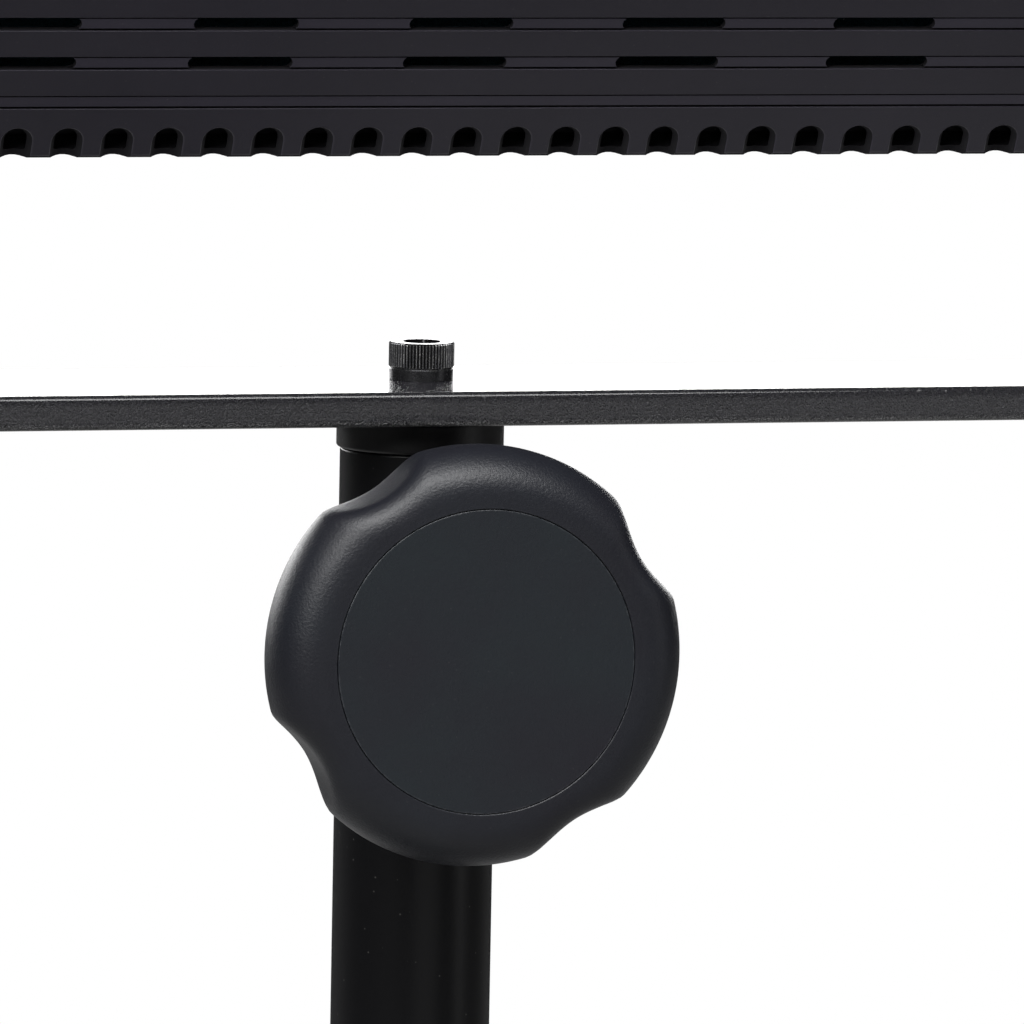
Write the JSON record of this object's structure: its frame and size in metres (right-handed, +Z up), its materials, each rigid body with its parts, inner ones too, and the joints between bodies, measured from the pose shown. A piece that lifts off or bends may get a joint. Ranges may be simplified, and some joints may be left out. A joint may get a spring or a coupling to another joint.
{
  "type": "music stand",
  "caption": "Conductor's music stand: flat weighted base, telescopic round post with a lobed clamp knob, flat-bar yoke and a tilting desk with a slotted, ribbed back and a ledge.",
  "frame": {"origin": "on the floor, on the post's axis, at the middle of the base plate", "axes": "+Z up along the post, +X along the yoke's bar, +Y towards the musician who reads from the desk; the clamp knob and the slotted back of the desk face -Y. Left is -X and right is +X, as seen from the -Y side"},
  "size_m": [0.5, 0.34, 0.9951],
  "materials": {
    "base_coat": "fine textured powder coat",
    "foot_rubber": "matte moulded rubber",
    "zinc_steel": "zinc plated screw",
    "black_screw": "black oxide socket screw",
    "post_coat": "satin black coat",
    "guide_plastic": "moulded bearing plastic",
    "column_steel": "drawn steel tube, satin",
    "plug_metal": "turned plug",
    "brass_pad": "turned brass",
    "knob_plastic": "satin moulded plastic",
    "cap_plastic": "satin moulded plastic",
    "yoke_coat": "wrinkle textured powder coat",
    "washer_nylon": "moulded nylon",
    "cover_plastic": "satin moulded plastic",
    "panel_coat": "satin powder coat",
    "liner_felt": "thin dark felt",
    "rail_metal": "extruded channel",
    "ledge_rubber": "matte sheet",
    "lug_coat": "satin black coat"
  },
  "bodies": {
    "base": {"base_plate": "base_coat", "base_feet": "foot_rubber", "foot_screws": "zinc_steel", "base_flange": "base_coat", "flange_screws": "black_screw", "grub_screw": "black_screw", "post_tube": "post_coat", "clamp_boss": "post_coat", "guide_sleeve": "guide_plastic"},
    "column": {"inner_tube": "column_steel", "column_plug": "plug_metal", "column_guide": "guide_plastic"},
    "clamp_shoe": {"clamp_pad": "brass_pad"},
    "clamp_handle": {"clamp_screw": "zinc_steel", "clamp_knob": "knob_plastic", "clamp_knob_cap": "cap_plastic"},
    "yoke": {"yoke_bar": "yoke_coat", "yoke_screw": "black_screw"},
    "desk": {"desk_rear_cover": "cover_plastic", "desk_front_panel": "panel_coat", "desk_liner": "liner_felt", "desk_rail_left": "rail_metal", "desk_rail_right": "rail_metal", "desk_ledge": "panel_coat", "ledge_end_left": "cap_plastic", "ledge_end_right": "cap_plastic", "ledge_mat": "ledge_rubber", "ledge_screws": "black_screw", "cover_screws": "black_screw", "tilt_lug_left": "lug_coat", "tilt_lug_right": "lug_coat", "lug_screws": "black_screw", "friction_washer_left": "washer_nylon", "friction_washer_right": "washer_nylon"},
    "tilt_washer_left": {"ear_washer_left": "washer_nylon"},
    "tilt_washer_right": {"ear_washer_right": "washer_nylon"},
    "tilt_handle_left": {"tilt_stud_left": "zinc_steel", "tilt_knob_left": "knob_plastic", "tilt_knob_cap_left": "cap_plastic"},
    "tilt_handle_right": {"tilt_stud_right": "zinc_steel", "tilt_knob_right": "knob_plastic", "tilt_knob_cap_right": "cap_plastic"}
  },
  "joints": [
    {"name": "post_slide", "type": "slide", "parent": "base", "child": "column", "axis": [0, 0, 1], "range_m": [0, 0.4]},
    {"name": "yoke_swivel", "type": "hinge", "parent": "column", "child": "yoke", "pos_m": [0, 0, 0.66], "axis": [0, 0, 1], "range_deg": [-180, 180]},
    {"name": "desk_tilt", "type": "hinge", "parent": "yoke", "child": "desk", "pos_m": [0, 0, 0.7688], "axis": [1, 0, 0], "range_deg": [-30, 60]},
    {"name": "clamp_feed", "type": "slide", "parent": "base", "child": "clamp_shoe", "axis": [0, -1, 0], "range_m": [0, 0.0025]},
    {"name": "clamp_turn", "type": "hinge", "parent": "clamp_shoe", "child": "clamp_handle", "pos_m": [0, -0.03, 0.6259], "axis": [0, -1, 0], "range_deg": [0, 720]},
    {"name": "tilt_feed_left", "type": "slide", "parent": "desk", "child": "tilt_washer_left", "axis": [-1, 0, 0], "range_m": [0, 0.0025]},
    {"name": "tilt_turn_left", "type": "hinge", "parent": "tilt_washer_left", "child": "tilt_handle_left", "pos_m": [-0.155, 0, 0.7688], "axis": [-1, 0, 0], "range_deg": [0, 720]},
    {"name": "tilt_feed_right", "type": "slide", "parent": "desk", "child": "tilt_washer_right", "axis": [1, 0, 0], "range_m": [0, 0.0025]},
    {"name": "tilt_turn_right", "type": "hinge", "parent": "tilt_washer_right", "child": "tilt_handle_right", "pos_m": [0.155, 0, 0.7688], "axis": [1, 0, 0], "range_deg": [0, 720]}
  ],
  "couplings": [
    {"joint": "clamp_turn", "follows": "clamp_feed", "rad_per_m": 5026.5},
    {"joint": "tilt_turn_left", "follows": "tilt_feed_left", "rad_per_m": 5026.5},
    {"joint": "tilt_turn_right", "follows": "tilt_feed_right", "rad_per_m": 5026.5}
  ]
}
